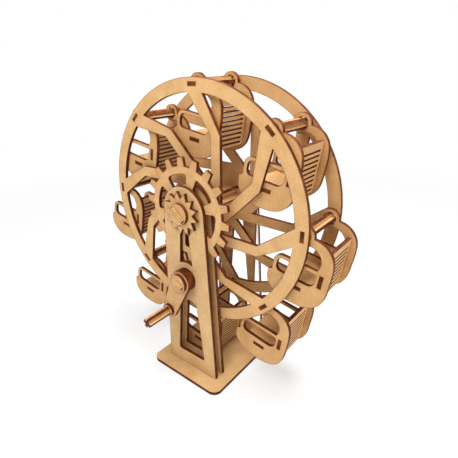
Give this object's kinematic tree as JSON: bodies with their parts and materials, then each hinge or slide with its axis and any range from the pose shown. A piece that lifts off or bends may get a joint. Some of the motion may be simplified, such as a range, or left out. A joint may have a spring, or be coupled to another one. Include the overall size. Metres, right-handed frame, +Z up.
{
  "type": "hand-cranked ferris wheel toy",
  "caption": "Wooden ferris wheel toy cut from flat sheet: cars with slatted backs hang on cross rods between two spoked discs, turned by a hand crank through a gear pair.",
  "frame": {"origin": "on the table under the wheel's hub, midway between the two wheel discs", "axes": "+Z up, +X to the right seen from the crank's side, the crank's side faces -Y"},
  "size_m": [0.2526, 0.1322, 0.271],
  "materials": {
    "frame_sheet": "satin",
    "wheel_sheet": "satin",
    "crank_sheet": "satin",
    "car_sheet": "satin"
  },
  "bodies": {
    "frame": {"base_plate": "frame_sheet", "front_tower_outer": "frame_sheet", "front_tower_inner": "frame_sheet", "rear_tower": "frame_sheet"},
    "wheel": {"front_wheel": "wheel_sheet", "rear_wheel": "wheel_sheet", "wheel_axle": "wheel_sheet", "front_wheel_washer": "wheel_sheet", "gear_spacer": "wheel_sheet", "drive_gear": "wheel_sheet", "star_disc": "wheel_sheet", "front_axle_cap": "wheel_sheet", "rear_wheel_washer": "wheel_sheet", "rear_axle_disc": "wheel_sheet", "rear_axle_cap": "wheel_sheet", "rod_1": "wheel_sheet", "rod_2": "wheel_sheet", "rod_3": "wheel_sheet", "rod_4": "wheel_sheet", "rod_5": "wheel_sheet", "rod_6": "wheel_sheet", "rod_7": "wheel_sheet", "rod_8": "wheel_sheet"},
    "crank": {"crank_axle": "crank_sheet", "pinion": "crank_sheet", "pinion_spacer": "crank_sheet", "crank_boss_inner": "crank_sheet", "crank_boss_outer": "crank_sheet", "crank_arm": "crank_sheet", "crank_cap": "crank_sheet", "handle_washer": "crank_sheet", "handle_rod": "crank_sheet"},
    "gondola_1": {"gondola_1_sides": "car_sheet", "gondola_1_seat": "car_sheet", "gondola_1_back": "car_sheet"},
    "gondola_2": {"gondola_2_sides": "car_sheet", "gondola_2_seat": "car_sheet", "gondola_2_back": "car_sheet"},
    "gondola_3": {"gondola_3_sides": "car_sheet", "gondola_3_seat": "car_sheet", "gondola_3_back": "car_sheet"},
    "gondola_4": {"gondola_4_sides": "car_sheet", "gondola_4_seat": "car_sheet", "gondola_4_back": "car_sheet"},
    "gondola_5": {"gondola_5_sides": "car_sheet", "gondola_5_seat": "car_sheet", "gondola_5_back": "car_sheet"},
    "gondola_6": {"gondola_6_sides": "car_sheet", "gondola_6_seat": "car_sheet", "gondola_6_back": "car_sheet"},
    "gondola_7": {"gondola_7_sides": "car_sheet", "gondola_7_seat": "car_sheet", "gondola_7_back": "car_sheet"},
    "gondola_8": {"gondola_8_sides": "car_sheet", "gondola_8_seat": "car_sheet", "gondola_8_back": "car_sheet"}
  },
  "joints": [
    {"name": "wheel_spin", "type": "hinge", "parent": "frame", "child": "wheel", "pos_m": [0, 0, 0.163], "axis": [0, 1, 0], "continuous": true},
    {"name": "crank_spin", "type": "hinge", "parent": "frame", "child": "crank", "pos_m": [0, -0.04, 0.101], "axis": [0, 1, 0], "continuous": true},
    {"name": "gondola_1_swing", "type": "hinge", "parent": "wheel", "child": "gondola_1", "pos_m": [0.00218, 0, 0.26298], "axis": [0, 1, 0], "continuous": true},
    {"name": "gondola_2_swing", "type": "hinge", "parent": "wheel", "child": "gondola_2", "pos_m": [0.07224, 0, 0.23215], "axis": [0, 1, 0], "continuous": true},
    {"name": "gondola_3_swing", "type": "hinge", "parent": "wheel", "child": "gondola_3", "pos_m": [0.09998, 0, 0.16082], "axis": [0, 1, 0], "continuous": true},
    {"name": "gondola_4_swing", "type": "hinge", "parent": "wheel", "child": "gondola_4", "pos_m": [0.06915, 0, 0.09076], "axis": [0, 1, 0], "continuous": true},
    {"name": "gondola_5_swing", "type": "hinge", "parent": "wheel", "child": "gondola_5", "pos_m": [-0.00218, 0, 0.06302], "axis": [0, 1, 0], "continuous": true},
    {"name": "gondola_6_swing", "type": "hinge", "parent": "wheel", "child": "gondola_6", "pos_m": [-0.07224, 0, 0.09385], "axis": [0, 1, 0], "continuous": true},
    {"name": "gondola_7_swing", "type": "hinge", "parent": "wheel", "child": "gondola_7", "pos_m": [-0.09998, 0, 0.16518], "axis": [0, 1, 0], "continuous": true},
    {"name": "gondola_8_swing", "type": "hinge", "parent": "wheel", "child": "gondola_8", "pos_m": [-0.06915, 0, 0.23524], "axis": [0, 1, 0], "continuous": true}
  ],
  "couplings": [
    {"joint": "crank_spin", "follows": "wheel_spin", "ratio": -2},
    {"joint": "gondola_1_swing", "follows": "wheel_spin", "ratio": -1},
    {"joint": "gondola_2_swing", "follows": "wheel_spin", "ratio": -1},
    {"joint": "gondola_3_swing", "follows": "wheel_spin", "ratio": -1},
    {"joint": "gondola_4_swing", "follows": "wheel_spin", "ratio": -1},
    {"joint": "gondola_5_swing", "follows": "wheel_spin", "ratio": -1},
    {"joint": "gondola_6_swing", "follows": "wheel_spin", "ratio": -1},
    {"joint": "gondola_7_swing", "follows": "wheel_spin", "ratio": -1},
    {"joint": "gondola_8_swing", "follows": "wheel_spin", "ratio": -1}
  ]
}
